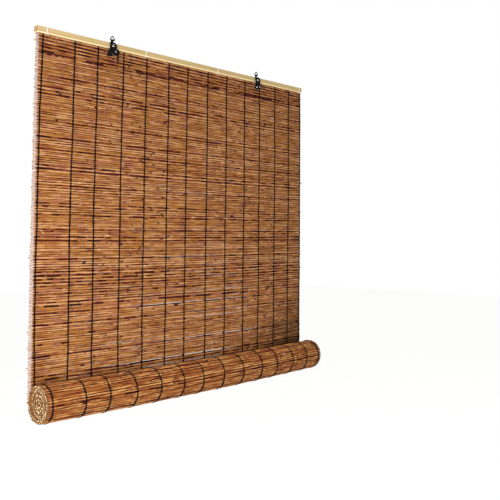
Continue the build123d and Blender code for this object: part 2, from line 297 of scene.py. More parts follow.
@dataclass(frozen=True)
class CarbonisedReed(Finish):
    """Common reed, peeled and steamed brown: satin, in short light and dark runs, with scorched streaks, and
    painted shade along each reed's edges towards its neighbours.
    """

    name: str = "carbonised_reed"
    deep: str = "#743B20"
    warm: str = "#92602B"
    pale: str = "#AC7D52"
    rose: str = "#8C573F"
    scorch: str = "#44130A"
    sooty: str = "#1C0A0C"
    bloom: str = "#C29A7C"
    dry: str = "#A39088"  # the tips, which the stain hardly reached
    node_mark: str = "#4A2614"
    warm_runs: Runs = Runs(0.42, 0.6, long_mm=50.0)
    pale_part: Fade = Fade(0.6, 0.8)  # of the same noise
    own_share: float = 0.25  # how far a reed's own tone moves that noise
    rose_runs: Runs = Runs(0.52, 0.6, 0.8, long_mm=50.0, seed=61.0)
    fibres: Runs = Runs(0.48, 0.66, 0.65, long_mm=5.0, wide_mm=0.6, seed=11.0)
    fibre_depth: float = 0.12 * MM
    bare_runs: Runs = Runs(0.66, 0.7, 0.6, seed=23.0)
    sooty_runs: Runs = Runs(0.46, 0.6, long_mm=76.0, seed=31.0)
    dark_reeds: Fade = Fade(0.3, 0.24, 0.22)  # reeds of a low tone, the thin ones among them, are scorched along more of their length; on the thin ones this is partly painted shade
    scorched_runs: Runs = Runs(0.7, 0.74, seed=5.0, detail=1.0)
    groove_shade_runs: Runs = Runs(0.36, 0.68, wide_mm=4.0, seed=47.0, detail=1.0)
    groove_shade_from: float = 2.5 * MM  # from the reed's middle towards its neighbours, where the painted shade between reeds is least
    groove_shade_to: float = 0.9 * MM  # and where it is most
    groove_shade_edge: Fade = Fade(0.0, 0.35 * MM)
    node_band: Fade = Fade(0.982, 0.992, 0.8)
    tips: Fade = Fade(0.1, -0.4, 0.7)
    own_spread: float = 997.0  # large, so that reeds of nearly one tone still differ in their noise
    roughness: float = 0.65
    ior: float = 1.2

    def shade(self, tree: Tree) -> Socket:
        """Colour short runs of each reed, line it with fibres, then bleach, scorch and mark it, and paint shade
        along its edges towards its neighbours.

        Args:
            tree: the material's node tree.

        Returns:
            The shader's socket.
        """
        grain, tone, span = carried(tree, "grain", "Vector"), carried(tree, "tone"), carried(tree, "span")
        own = maths(tree, "MULTIPLY", tone, self.own_spread)

        def noise(runs: Runs) -> Socket:
            """Draw noise out along the reed, different on every reed.

            Args:
                runs: the size and kind of its features.

            Returns:
                The noise, about 0 to 1.
            """
            place = stretch(tree, grain, runs.long_mm, runs.wide_mm)
            seed = maths(tree, "ADD", own, runs.seed)
            sockets = {"Vector": place, "W": seed, "Scale": 1.0, "Detail": runs.detail}
            return add_node(tree, "ShaderNodeTexNoise", sockets, noise_dimensions="4D").outputs["Fac"]

        def part(value: Socket, fade: Fade) -> Socket:
            """How far a fade has come in at a value."""
            return remap(tree, value, (fade.low, fade.high), (0.0, fade.most), "SMOOTHSTEP")

        body = maths(tree, "MULTIPLY_ADD", tone, self.own_share, noise(self.warm_runs))
        fibre = noise(self.fibres)
        colour = blend(tree, part(body, self.warm_runs), self.deep, self.warm)
        colour = blend(tree, part(body, self.pale_part), colour, self.pale)
        colour = blend(tree, part(noise(self.rose_runs), self.rose_runs), colour, self.rose)
        colour = blend(tree, part(fibre, self.fibres), colour, self.deep)
        colour = blend(tree, part(noise(self.bare_runs), self.bare_runs), colour, self.bloom)
        scorch_and_groove_shade = blend(tree, part(noise(self.sooty_runs), self.sooty_runs), self.scorch, self.sooty)
        scorched = maths(tree, "ADD", noise(self.scorched_runs), part(tone, self.dark_reeds))
        colour = blend(tree, part(scorched, self.scorched_runs), colour, scorch_and_groove_shade)
        # painted shade between reeds: the scorch colour laid over each reed's edges towards its neighbours,
        # reaching further in where this noise is high
        levels = (self.groove_shade_runs.low, self.groove_shade_runs.high)
        shade_reach = remap(tree, noise(self.groove_shade_runs), levels, (-self.groove_shade_from, -self.groove_shade_to))
        past = maths(tree, "ADD", maths(tree, "ABSOLUTE", split(tree, grain)["Z"]), shade_reach)
        colour = blend(tree, part(past, self.groove_shade_edge), colour, scorch_and_groove_shade)
        colour = blend(tree, part(span, self.node_band), colour, self.node_mark)
        colour = blend(tree, part(span, self.tips), colour, self.dry)
        bump = relief(tree, fibre, self.fibre_depth)
        return surface(tree, colour, self.roughness, IOR=self.ior, Normal=bump)


@dataclass(frozen=True)
class SawnReedEnd(Finish):
    """A reed sawn across: cream wood with vessels, a hollow pith painted dark as painted shade, and a skin
    darkened partly as stained skin, partly as painted shade between the roll's turns.
    """

    name: str = "sawn_reed_end"
    wood: str = "#F6D8A4"
    shade_wood: str = "#8A5C34"
    pith_shade: str = "#351A0C"
    skin_and_turn_shade: str = "#3C2010"
    pith_shade_radius: float = 0.7 * MM
    skin_shade_from: float = 1.1 * MM  # outward from the reed's middle, along the way the mat faces: partly skin, partly painted shade between turns
    skin_shade_to: float = 1.7 * MM
    vessel_mm: float = 0.6
    mottle: Levels = (1.15, 1.55)
    roughness: float = 0.8

    def shade(self, tree: Tree) -> Socket:
        """Speckle the wood, then darken it towards the skin on the sides that face the neighbouring turns, and in
        the hollow pith: both partly painted shade.

        Args:
            tree: the material's node tree.

        Returns:
            The shader's socket.
        """
        grain = carried(tree, "grain", "Vector")
        mottle = maths(tree, "ADD", speckle(tree, grain, self.vessel_mm, 1.0), carried(tree, "tone"))
        colour = blend(tree, remap(tree, mottle, self.mottle), self.wood, self.shade_wood)
        # skin and painted shade: only the sides along the mat's facing direction darken, which on the roll are
        # those next to the neighbouring turns
        outward = maths(tree, "ABSOLUTE", split(tree, grain)["Y"])
        colour = blend(tree, remap(tree, outward, (self.skin_shade_from, self.skin_shade_to)), colour, self.skin_and_turn_shade)
        # painted shade in the hollow pith, which the mesh sets back only a little
        flat = add_node(tree, "ShaderNodeVectorMath", {0: grain, 1: (0.0, 1.0, 1.0)}, operation="MULTIPLY")
        out = add_node(tree, "ShaderNodeVectorMath", {0: flat.outputs[0]}, operation="LENGTH").outputs["Value"]
        colour = blend(tree, remap(tree, out, (self.pith_shade_radius, self.pith_shade_radius * 2)), self.pith_shade, colour)
        return surface(tree, colour, self.roughness)


@dataclass(frozen=True)
class PlanedWhitewood(Finish):
    """Whitewood slat, planed and left bare: pale yellow, with soft straight grain and a painted highlight along
    its lower edge.
    """

    name: str = "planed_whitewood"
    early: str = "#AF966A"
    late: str = "#8F7145"
    green: str = "#AA9862"
    # painted highlight along the lower edge of the battens
    arris_highlight: str = "#DEC897"
    grain_length_mm: float = 260.0
    grain_width_mm: float = 3.2
    grain_levels: Levels = (0.45, 0.75)
    patch_mm: float = 45.0
    patch_levels: Levels = (0.48, 0.66)
    arris_highlight_width: float = 2.2 * MM
    arris_highlight_full: float = 0.6  # the painted highlight is palest within this share of its width
    low_z: float = 0.0
    roughness: float = 0.62
    depth: float = 0.2 * MM

    def shade(self, tree: Tree) -> Socket:
        """Draw grain along the slat, greenish patches, and a painted highlight along the lower arris.

        Args:
            tree: the material's node tree.

        Returns:
            The shader's socket.
        """
        place = object_place(tree)
        drawn = stretch(tree, place, self.grain_length_mm, self.grain_width_mm)
        grain = speckle(tree, drawn, METRE_MM, 4.0, 0.6)
        patch = speckle(tree, place, self.patch_mm, 1.0)
        colour = blend(tree, remap(tree, patch, self.patch_levels), self.early, self.green)
        colour = blend(tree, remap(tree, grain, self.grain_levels), colour, self.late)
        # painted highlight: a paler band along the lower edge, where the arris catches light
        arris_highlight = (self.low_z + self.arris_highlight_width, self.low_z + self.arris_highlight_width * self.arris_highlight_full)
        colour = blend(tree, remap(tree, split(tree, place)["Z"], arris_highlight), colour, self.arris_highlight)
        return surface(tree, colour, self.roughness, Normal=relief(tree, grain, self.depth, 0.6))


@dataclass(frozen=True)
class TwistedCotton(Finish):
    """Black cotton yarn, two plies twisted: a soft dark matt line with a rope-like surface."""

    name: str = "twisted_cotton"
    colour: str = "#050505"
    rubbed: str = "#120D0C"
    ply_mm: float = 2.6
    ridge_half: float = 0.9 * MM  # half the height over which a ridge goes from dark to light
    ridge_power: float = 3.0
    depth: float = 0.4 * MM
    roughness: float = 0.9
    ior: float = 1.2

    def shade(self, tree: Tree) -> Socket:
        """Turn ridges round the strand: y sin(ks) + z cos(ks), where s runs along it, has no seam.

        Args:
            tree: the material's node tree.

        Returns:
            The shader's socket.
        """
        parts = split(tree, carried(tree, "grain", "Vector"))
        turn = maths(tree, "MULTIPLY", parts["X"], 2 * math.pi * per_metre(self.ply_mm))
        one = maths(tree, "MULTIPLY", parts["Y"], maths(tree, "SINE", turn))
        both = maths(tree, "MULTIPLY_ADD", parts["Z"], maths(tree, "COSINE", turn), one)
        ridge = remap(tree, both, (-self.ridge_half, self.ridge_half))
        colour = blend(tree, maths(tree, "POWER", ridge, self.ridge_power), self.colour, self.rubbed)
        bump = relief(tree, ridge, self.depth, 0.8)
        return surface(tree, colour, self.roughness, IOR=self.ior, Normal=bump)


@dataclass(frozen=True)
class NylonLine(Finish):
    """Clear polyamide monofilament, drawn smooth: a whitish, glossy, half see-through line."""

    name: str = "nylon_line"
    colour: str = "#F3F0E6"
    milky: str = "#D9D4C4"
    cloud_mm: float = 4.0
    roughness: float = 0.22
    ior: float = 1.53
    clear: float = 0.25

    def shade(self, tree: Tree) -> Socket:
        """Cloud the line a little along its length.

        Args:
            tree: the material's node tree.

        Returns:
            The shader's socket.
        """
        colour = blend(tree, speckle(tree, object_place(tree), self.cloud_mm, 1.0), self.colour, self.milky)
        return surface(tree, colour, self.roughness, IOR=self.ior, Transmission_Weight=self.clear)


@dataclass(frozen=True)
class HardSurface(Finish):
    """A metal or plastic of one colour, with a finer second colour and uneven gloss over it."""

    main: str = "#111114"
    worn: str = "#2A2A30"
    metallic: float = 0.0
    gloss_low: float = 0.28
    gloss_high: float = 0.5
    mottle_mm: float = 2.5
    relief_depth: float = 0.03 * MM
    ior: float = 1.5
    worn_levels: Levels = (0.5, 0.75)

    def shade(self, tree: Tree) -> Socket:
        """Mottle the colour, and vary the roughness and a slight relief by the same noise.

        Args:
            tree: the material's node tree.

        Returns:
            The shader's socket.
        """
        mottle = speckle(tree, object_place(tree), self.mottle_mm, 3.0)
        colour = blend(tree, remap(tree, mottle, self.worn_levels), self.main, self.worn)
        gloss = remap(tree, mottle, (0.0, 1.0), (self.gloss_low, self.gloss_high))
        bump = relief(tree, mottle, self.relief_depth)
        return surface(tree, colour, gloss, Metallic=self.metallic, IOR=self.ior, Normal=bump)


REED = CarbonisedReed()
# the rolled reeds, whose back faces outwards on the roll, take a redder and darker copy of the reed finish:
# painted shade that keeps the roll darker than the hanging mat
REED_BACK_SHADED = CarbonisedReed(
    "carbonised_reed_back_shaded",
    deep="#6A3012",
    warm="#8A5224",
    pale="#AE7D48",
    rose="#7E4828",
    scorch="#3E0E05",
    sooty="#1A0708",
    bloom="#BC8E6A",
    dry="#64401F",
)
REED_END = SawnReedEnd()
COTTON = TwistedCotton()
NYLON = NylonLine()
# stove-enamelled pressed steel: near black, semi-gloss, a little orange peel
LACQUER = HardSurface("black_lacquered_steel", "#050506", "#0E0E10", ior=1.3)
# bright zinc plate on steel: silvery, with cloudy spangles
ZINC = HardSurface("zinc_plated_steel", "#E4E6E8", "#B9BCC0", 1.0, 0.22, 0.38, 1.2, 0.01 * MM)
# moulded polyamide: black, satin, faintly grained
WHEEL = HardSurface("moulded_nylon", "#18181A", "#262628", 0.0, 0.4, 0.55, 0.8, 0.02 * MM)


# ---------- shapes
@dataclass
class Faces:
    """Faces with the same number of corners, the same finish and the same shading."""

    corners: Array
    finish: int = 0
    smooth: bool = True


@dataclass
class Shape:
    """Points, the faces between them, and the values that each point carries for its finish."""

    points: Array
    faces: list[Faces]
    values: dict[str, Array] = field(default_factory=dict)


def join(shapes: list[Shape]) -> Shape:
    """Put several shapes with the same values into one.

    Args:
        shapes: the shapes, each numbered from its own first point.

    Returns:
        One shape with every point and face.
    """
    starts = np.cumsum([0] + [len(s.points) for s in shapes])
    faces = [Faces(f.corners + at, f.finish, f.smooth) for s, at in zip(shapes, starts) for f in s.faces]
    values = {name: np.concatenate([s.values[name] for s in shapes]) for name in shapes[0].values}
    return Shape(np.concatenate([s.points for s in shapes]), faces, values)


def ring_quads(rods: int, rings: int, sides: int, closed: bool = False) -> Array:
    """Number the quads between neighbouring rings of every rod.

    Args:
        rods: how many rods there are.
        rings: how many rings each has.
        sides: how many points a ring has.
        closed: whether the last ring joins the first.

    Returns:
        Corners, as (rods, spans, sides, 4).
    """
    span = np.arange(rings if closed else rings - 1)[None, :, None]
    rod = np.arange(rods)[:, None, None] * rings
    side = np.arange(sides)[None, None, :]
    after = (side + 1) % sides
    here, there = (rod + span) * sides, (rod + (span + 1) % rings) * sides
    return np.stack([here + side, here + after, there + after, there + side], axis=-1)


def rod_points(
    centres: Array, radii: Array, run: Array, first: Array, second: Array, sides: int, turn: Array
) -> tuple[Array, Array]:
    """Place a circle of points round each ring centre: centre + radius (cos a first + sin a second).

    Args:
        centres: ring centres, (rods, rings, 3).
        radii: ring radii, (rods, rings).
        run: length along the rod at each ring, (rods, rings).
        first: the unit direction at angle 0, broadcast to centres.
        second: the unit direction at a quarter turn, broadcast to centres.
        sides: points on a ring.
        turn: where each rod's circle starts, in radians, (rods,).

    Returns:
        The points, (points, 3), and the grain: how far along its rod each one is, and its two distances from
        the rod's middle.
    """
    angle = np.arange(sides) * 2 * math.pi / sides + turn[:, None, None]
    one, other = radii[..., None] * np.cos(angle), radii[..., None] * np.sin(angle)
    first, second = (np.broadcast_to(d, centres.shape)[:, :, None, :] for d in (first, second))
    points = centres[:, :, None, :] + one[..., None] * first + other[..., None] * second
    grain = np.stack([np.broadcast_to(run[..., None], one.shape), one, other], axis=-1)
    return points.reshape(-1, 3), grain.reshape(-1, 3)


def strand_tubes(paths: Array, radius: float, sides: int, side_hint: Array, closed: bool = False) -> Shape:
    """Carry a circle along each path, square to it. On an open path both ends get a flat cap.

    Args:
        paths: points along each strand, (strands, rings, 3).
        radius: of the strand.
        sides: points on a ring.
        side_hint: a direction that is never along the strand.
        closed: whether each path comes back to its start.

    Returns:
        The strands as one shape, carrying "grain".
    """
    if closed:
        step = np.roll(paths, -1, axis=1) - np.roll(paths, 1, axis=1)
    else:
        step = np.gradient(paths, axis=1)
    tangent = step / np.linalg.norm(step, axis=-1, keepdims=True)
    second = np.cross(tangent, side_hint)
    second /= np.linalg.norm(second, axis=-1, keepdims=True)
    first = np.cross(second, tangent)
    strands, rings, _ = paths.shape
    run = np.cumsum(np.linalg.norm(np.diff(paths, axis=1, prepend=paths[:, :1]), axis=-1), axis=1)
    points, grain = rod_points(
        paths, np.full((strands, rings), radius), run, first, second, sides, np.zeros(strands)
    )
    faces = [Faces(ring_quads(strands, rings, sides, closed).reshape(-1, 4))]
    if not closed:
        number = np.arange(strands * rings * sides).reshape(strands, rings, sides)
        faces.append(Faces(number[:, 0, ::-1], 0, False))
        faces.append(Faces(number[:, -1], 0, False))
    return Shape(points, faces, {"grain": grain})


def make_piece(name: str, shape: Shape, finishes: list[Finish], body: str) -> bpy.types.Object:
    """Put a shape into a mesh object that rides on a body.

    Args:
        name: the piece's name.
        shape: its points, faces and values.
        finishes: the finishes that the faces number.
        body: the CAD body that it moves with.

    Returns:
        The new object.
    """
    mesh = bpy.data.meshes.new(name)
    corners = np.concatenate([f.corners.ravel() for f in shape.faces]).astype(np.int32)
    kinds = np.array([(*f.corners.shape, f.finish, f.smooth) for f in shape.faces], dtype=np.int32)
    totals, finish, smooth = (np.repeat(kinds[:, column], kinds[:, 0]) for column in (1, 2, 3))
    mesh.vertices.add(len(shape.points))
    mesh.vertices.foreach_set("co", shape.points.astype(np.float32).ravel())
    mesh.loops.add(len(corners))
    mesh.loops.foreach_set("vertex_index", corners)
    mesh.polygons.add(len(totals))
    mesh.polygons.foreach_set("loop_start", (np.cumsum(totals) - totals).astype(np.int32))
    mesh.polygons.foreach_set("material_index", finish)
    mesh.polygons.foreach_set("use_smooth", smooth.astype(bool))
    for label, values in shape.values.items():
        kind, key = ("FLOAT_VECTOR", "vector") if values.ndim == 2 else ("FLOAT", "value")
        attribute = mesh.attributes.new(label, kind, "POINT")
        attribute.data.foreach_set(key, values.astype(np.float32).ravel())
    mesh.update(calc_edges=True)
    for chosen in finishes:
        mesh.materials.append(chosen.material())
    piece = bpy.data.objects.new(name, mesh)
    bpy.context.scene.collection.objects.link(piece)
    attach(piece, body)
    log.info("%s: %d points, %d faces", name, len(shape.points), len(totals))
    return piece


# ---------- the frame's sizes
@dataclass
class BlindFrame:
    """The sizes and places that the pieces take from the CAD nodes."""

    turn_gap: float = 0.4 * MM  # slack between one turn of the roll and the next
    most_sag: float = 4.5 * MM
    left_drift: Triple = (6.0, -24.0, 20.0)
    right_drift: Triple = (5.0, -2.0, -11.0)
    left: float = field(init=False)
    right: float = field(init=False)
    batten_face: float = field(init=False)
    batten_low: float = field(init=False)
    batten_high: float = field(init=False)
    rear_back: float = field(init=False)
    mat_front: float = field(init=False)
    mat_middle: float = field(init=False)
    mat_back: float = field(init=False)
    mat_low: float = field(init=False)
    reed: float = field(init=False)  # a reed's usual thickness
    pitch: float = field(init=False)  # from one turn of the roll to the next
    roll_radius: float = field(init=False)
    roll_y: float = field(init=False)
    roll_z: float = field(init=False)
    first_radius: float = field(init=False)  # of the middle of the outermost half turn
    threads: list[str] = field(init=False)
    thread_x: Array = field(init=False)
    ties: list[str] = field(init=False)
    tie_x: Array = field(init=False)
    lift: float = field(init=False)

    def __post_init__(self) -> None:
        """Read the boxes of the battens, mat, roll, threads and ties."""
        low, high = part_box("front_batten")
        self.batten_face, self.mat_front = low.y, high.y
        self.batten_low, self.batten_high = low.z, high.z
        low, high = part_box("reed_mat")
        self.left, self.right, self.mat_back, self.mat_low = low.x, high.x, high.y, low.z
        self.mat_middle = (self.mat_front + self.mat_back) / 2
        self.reed = self.mat_back - self.mat_front
        self.rear_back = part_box("rear_batten")[1].y
        low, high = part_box("reed_roll")
        self.pitch = self.reed + self.turn_gap
        self.roll_radius = (high.y - low.y + self.pitch / 2) / 2
        self.roll_y = self.mat_back - self.roll_radius
        self.roll_z = low.z + self.roll_radius - self.pitch / 4
        self.first_radius = self.roll_radius - self.reed / 2 - self.pitch / 4
        names = sorted(frame["nodes"])
        self.threads = [n for n in names if n.startswith("warp_thread_")]
        self.ties = [n for n in names if n.startswith("batten_tie_")]
        self.thread_x = np.array([sum(c.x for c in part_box(n)) / 2 for n in self.threads])
        self.tie_x = np.array([sum(c.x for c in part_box(n)) / 2 for n in self.ties])
        self.lift = next(j for j in frame["joints"] if j["name"] == LIFT_JOINT)["range_m"][1]

    def lean(self, x: Array, z: Array) -> Array:
        """How far the weave has drifted to the right of plumb at a place on the mat.

        Each edge starts a few millimetres right, under the battens. The left edge swings left by the middle
        and back, and the right edge goes on leftwards: a + b t + c t² millimetres, where t is the share of the
        drop and a, b and c are left_drift or right_drift. Between the edges the two are mixed in proportion.

        Args:
            x: places along the mat.
            z: heights.

        Returns:
            The drift in metres, broadcast over both.
        """
        depth = self.depth(z)
        share = (x - self.left) / (self.right - self.left)
        at_left, at_right = (a + b * depth + c * depth**2 for a, b, c in (self.left_drift, self.right_drift))
        return (at_left * (1 - share) + at_right * share) * MM

    def sag(self, x: Array, depth: Array | float) -> Array:
        """How far the middle of the mat hangs below its edges: a parabola across, in proportion to the depth.

        Args:
            x: places along the mat.
            depth: share of the drop, 0 under the battens and 1 at the roll.

        Returns:
            The sag in metres, downwards.
        """
        across = 2 * (x - self.left) / (self.right - self.left) - 1
        return self.most_sag * depth * np.clip(1 - across**2, 0, 1)

    def depth(self, z: Array) -> Array:
        """The share of the drop at a height, 0 under the battens and 1 where the mat meets the roll."""
        return np.clip((self.batten_low - z) / (self.batten_low - self.mat_low), 0.0, 1.0)

    def spiral(self, run: Array) -> tuple[Array, Array]:
        """Follow the middle of the rolled mat: half circles whose radius drops by half a turn's pitch each.

        The first goes from the back of the roll down and under to the front, about a centre a quarter pitch
        behind the axis, and the next goes over the top, about a centre a quarter pitch in front of it.

        Args:
            run: lengths along the mat from where it meets the roll.

        Returns:
            Centres, (..., 3) with x at 0, and the outward directions there.
        """
        half = np.arange(int(self.first_radius / (self.pitch / 2)))
        radii = self.first_radius - half * self.pitch / 2
        ends = np.cumsum(math.pi * radii)
        number = np.minimum(np.searchsorted(ends, run, side="right"), len(half) - 1)
        before = np.where(number > 0, ends[number - 1], 0.0)
        radius = radii[number]
        angle = math.pi * number + (run - before) / radius
        middle = self.roll_y + np.where(number % 2 == 0, 1, -1) * self.pitch / 4
        out = np.stack([np.zeros_like(angle), np.cos(angle), -np.sin(angle)], axis=-1)
        centre = np.stack([np.zeros_like(angle), middle, np.full_like(angle, self.roll_z)], axis=-1)
        return centre + radius[..., None] * out, out


# ---------- the reeds
@dataclass
class ReedStock:
    """A bundle of reeds as they are cut and laid, each of its own thickness, tone and bend."""

    sides: int = 8
    nodes: int = 2
    spread: float = 0.1  # of the thickness, as a share
    thickness_range: Levels = (0.75, 1.3)
    thin_share: float = 0.72  # of every second reed is a slip between stouter ones
    thin: float = 0.55
    thin_shade: float = 1.1  # how far a thin reed, which sits back between stouter ones, is painted darker: painted shade
    tone: float = 0.55
    tone_spread: float = 0.35
    node_range: Levels = (0.15, 0.85)  # where a node may fall in its share of the reed
    node_margin: float = 20.0 * MM  # from an outer thread to the nearest node
    node_width: float = 3.0 * MM
    node_swell: float = 1.07
    internode: float = 0.97
    ring_slip: float = 0.5 * MM  # of the rings at the outer threads, along the reed
    unevenness: float = 0.02  # of the radius from ring to ring, as a share
    bow: float = 0.11 * MM
    bow_limit: float = 1.6  # times bow, so that no reed cuts into its neighbour
    twist: float = 0.1  # radians about the reed's own line
    press: float = 0.27 * MM  # how far a reed is squeezed into its neighbour
    hollow: float = 0.45  # radius of the pith, as a share
    recess: float = 0.7 * MM
    tip_taper: float = 0.66
    tip_splay: float = 0.5 * MM

    def thicknesses(self, total: float, mean: float, rng: Random) -> Array:
        """Draw the thickness of each reed so that side by side they fill a length.

        Args:
            total: the length to fill.
            mean: the usual thickness.
            rng: random source.

        Returns:
            One thickness a reed, whose sum is total.
        """
        count = round(total / mean)
        drawn = np.clip(rng.normal(1.0, self.spread, count), *self.thickness_range)
        slip = (np.arange(count) % 2 == 1) & (rng.uniform(size=count) < self.thin_share)
        drawn = np.where(slip, drawn * self.thin, drawn)
        return drawn * total / drawn.sum()

    def lay(
        self,
        places: Array,
        outward: Array,
        thick: Array,
        ends: tuple[Array, Array],
        sizes: BlindFrame,
        depth: Array | float,
        rng: Random,
    ) -> Shape:
        """Build reeds that lie along X through the given places.

        Rings stand at the two ends, where the first and last threads hold the reed, and at each node, where the
        reed swells and changes direction a little. A smaller ring set back from each end makes the hollow pith.

        Args:
            places: each reed's middle, (reeds, 3), of which x isn't used.
            outward: the direction that the mat faces there, (reeds, 3).
            thick: each reed's thickness.
            ends: x of the left and right ends.
            sizes: of the blind.
            depth: share of the drop at which each reed lies, (reeds, 1).
            rng: random source.

        Returns:
            The reeds, carrying "grain", "tone" and "span".
        """
        count = len(places)
        left, right = ends
        first, last = sizes.thread_x[[0, -1]]
        share = (np.arange(self.nodes) + rng.uniform(*self.node_range, (count, self.nodes))) / self.nodes
        node = first + self.node_margin + share * (last - first - 2 * self.node_margin)
        node_pair = np.stack([node, node + self.node_width], axis=-1).reshape(count, -1)
        x = np.column_stack(
            [
                left + self.recess,
                left,
                first + rng.normal(0, self.ring_slip, count),
                node_pair,
                last + rng.normal(0, self.ring_slip, count),
                right,
                right - self.recess,
            ]
        )
        rings = x.shape[1]
        at_tip = [self.tip_taper] * 2
        swell = np.array(at_tip + [1.0] + [self.internode, self.node_swell] * self.nodes + [1.0] + at_tip)
        radii = (thick[:, None] / 2 + self.press) * swell * rng.normal(1.0, self.unevenness, (count, rings))
        radii[:, [0, -1]] = radii[:, [1, -2]] * self.hollow
        centres = np.repeat(places[:, None, :], rings, axis=1)
        centres[:, :, 0] = x
        centres[:, :, 2] -= sizes.sag(x, depth)
        along_mat = np.cross(ALONG, outward)
        most = self.bow_limit * self.bow
        bend = np.clip(rng.normal(0, self.bow, (count, rings)), -most, most)
        bend[:, [0, -1]] = bend[:, [1, -2]] = rng.normal(0, self.tip_splay, (count, 2))
        lift = rng.normal(0, self.bow, (count, rings))
        lift[:, 0], lift[:, -1] = lift[:, 1], lift[:, -2]
        centres += bend[..., None] * along_mat[:, None, :] + lift[..., None] * outward[:, None, :]
        turn = rng.normal(0, self.twist, count)
        points, grain = rod_points(
            centres, radii, x, outward[:, None, :], along_mat[:, None, :], self.sides, turn
        )
        # thin reeds take a lower tone, so a darker colour and more scorch: painted shade, as they sit back between
        # stouter ones
        own_tone = self.tone + self.thin_shade * (thick / thick.mean() - 1)
        own_tone += rng.uniform(-self.tone_spread, self.tone_spread, count)
        number = np.arange(len(points)).reshape(count, rings, self.sides)
        tone = np.broadcast_to(own_tone[:, None, None], number.shape)
        # span is -1 at the tips, and goes from 0 to 1 along each internode
        span_at = np.array([-1.0, -1.0, 0.5] + [1.0, 0.0] * self.nodes + [0.5, -1.0, -1.0])
        span = np.broadcast_to(span_at[None, :, None], number.shape)
        quads = ring_quads(count, rings, self.sides)
        faces = [
            Faces(quads[:, 1:-1].reshape(-1, 4)),
            Faces(quads[:, [0, -1]].reshape(-1, 4), 1, False),
            Faces(number[:, 0, ::-1], 1, False),
            Faces(number[:, -1], 1, False),
        ]
        return Shape(points, faces, {"grain": grain, "tone": tone.ravel(), "span": span.ravel()})


@dataclass
class HangingMat:
    """The reeds between the battens and those that hang below them, down to the roll."""

    sizes: BlindFrame
    stock: ReedStock = field(default_factory=ReedStock)
    ragged: float = 1.6 * MM
    stray_share: float = 0.05  # of the reeds stick out further, by up to stray
    stray: float = 5.0 * MM
    left_follow: float = 0.4  # share of the weave's drift that the left ends follow

    def build(self, rng: Random) -> Array:
        """Build both bundles and dress them.

        Args:
            rng: random source.

        Returns:
            The heights of the reeds that hang, from the top down.
        """
        sizes = self.sizes
        clamped = self.bundle(sizes.batten_high, sizes.batten_low, rng)[0]
        make_piece("clamped_reeds", clamped, [REED, REED_END], HEADRAIL)
        hanging, heights = self.bundle(sizes.batten_low, sizes.mat_low, rng)
        piece = make_piece("hanging_reeds", hanging, [REED, REED_END], HEADRAIL)
        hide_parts("reed_mat")
        shorten(piece)
        return heights

    def bundle(self, top: float, bottom: float, rng: Random) -> tuple[Shape, Array]:
        """Lay reeds one below the other from top to bottom.

        Args:
            top: height of the upper side of the first.
            bottom: height of the lower side of the last.
            rng: random source.

        Returns:
            The reeds and their heights.
        """
        sizes = self.sizes
        thick = self.stock.thicknesses(top - bottom, sizes.reed, rng)
        heights = top - np.cumsum(thick) + thick / 2
        count = len(thick)
        places = np.column_stack([np.zeros(count), np.full(count, sizes.mat_middle), heights])
        stray = np.where(rng.uniform(size=(2, count)) < self.stray_share, self.stray, 0.0)
        cut = rng.uniform(0, 1, (2, count)) * (self.ragged + stray)
        left = sizes.left + sizes.lean(sizes.left, heights) * self.left_follow - cut[0]
        right = sizes.right + sizes.lean(sizes.right, heights) + cut[1] - self.ragged
        outward = np.tile(ACROSS, (count, 1))
        depth = sizes.depth(heights)[:, None]
        return self.stock.lay(places, outward, thick, (left, right), sizes, depth, rng), heights


def shorten(piece: bpy.types.Object) -> None:
    """Give a hanging piece a mesh of its own, not shared with any other object.

    Args:
        piece: the mesh object.
    """
    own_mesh(piece)


@dataclass
class RolledMat:
    """The reeds of the rolled end, side by side along the spiral."""

    sizes: BlindFrame
    stock: ReedStock = field(
        default_factory=lambda: ReedStock(tip_taper=0.82, tip_splay=0.1 * MM, bow=0.16 * MM, press=0.08 * MM)
    )
    half_turns: int = 16
    inset: float = 5.0 * MM  # how far the inner turns sit inside the outer one at the left
    inset_from: float = 0.9  # turns from where the roll starts
    right_range: Levels = (-1.0, 0.6)  # of ragged, at the right ends
    ragged: float = 1.2 * MM
    slip: float = 1.6 * MM  # every second turn stands out by this at its ends
    core_slip: float = 0.5 * MM  # how far reeds stray from the spiral at the centre

    def build(self, rng: Random) -> Array:
        """Build the roll and dress it.

        Args:
            rng: random source.

        Returns:
            How far along the spiral each reed lies.
        """
        sizes = self.sizes
        total = math.pi * (sizes.first_radius - np.arange(self.half_turns) * sizes.pitch / 2).sum()
        thick = self.stock.thicknesses(total, sizes.reed, rng)
        run = np.cumsum(thick) - thick / 2
        places, outward = sizes.spiral(run)
        inward = run / total
        places += outward * (rng.normal(0, 1, len(run)) * self.core_slip * inward**2)[:, None]
        turns_in = np.clip(run / (2 * math.pi * sizes.first_radius) - self.inset_from, 0, 1)
        from_axis = np.linalg.norm(places[:, 1:] - [sizes.roll_y, sizes.roll_z], axis=1)
        turns = np.cumsum(thick / (2 * math.pi * from_axis))
        slip = self.slip * np.cos(math.pi * turns) * turns_in
        left = sizes.left + self.inset * turns_in + slip + rng.uniform(-1, 1, len(run)) * self.ragged
        right = sizes.right + rng.uniform(*self.right_range, len(run)) * self.ragged
        shape = self.stock.lay(places, outward, thick, (left, right), sizes, 1.0, rng)
        # the darker copy of the reed finish here is painted shade on the roll
        piece = make_piece("rolled_reeds", shape, [REED_BACK_SHADED, REED_END], ROLL)
        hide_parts("reed_roll")
        return run


